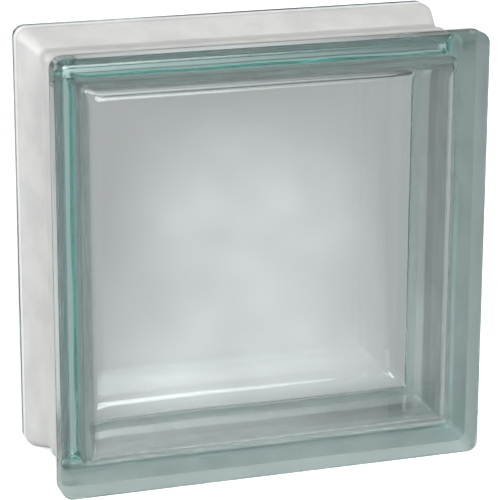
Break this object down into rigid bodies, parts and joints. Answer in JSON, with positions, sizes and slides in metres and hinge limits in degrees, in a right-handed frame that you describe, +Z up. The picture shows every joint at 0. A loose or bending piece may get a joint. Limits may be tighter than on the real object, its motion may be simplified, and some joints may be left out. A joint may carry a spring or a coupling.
{
  "type": "hollow glass block",
  "caption": "Square hollow glass building block with a clear pane on each face, bare glass flanges and a white-coated mortar channel round its edge.",
  "frame": {"origin": "under the middle of the block, on the plane that the two bottom flanges stand on", "axes": "+X to the right across the block seen from its viewing face, +Y through the block from the viewing face to the back face, +Z up"},
  "size_m": [0.19, 0.08, 0.19],
  "materials": {
    "pressed_glass": "clear pressed soda-lime glass with a faint green tint, slightly wavy",
    "white_coating": "satin white baked coating"
  },
  "bodies": {
    "root": {"front_shell": "pressed_glass", "back_shell": "pressed_glass", "edge_coating": "white_coating"}
  },
  "joints": []
}
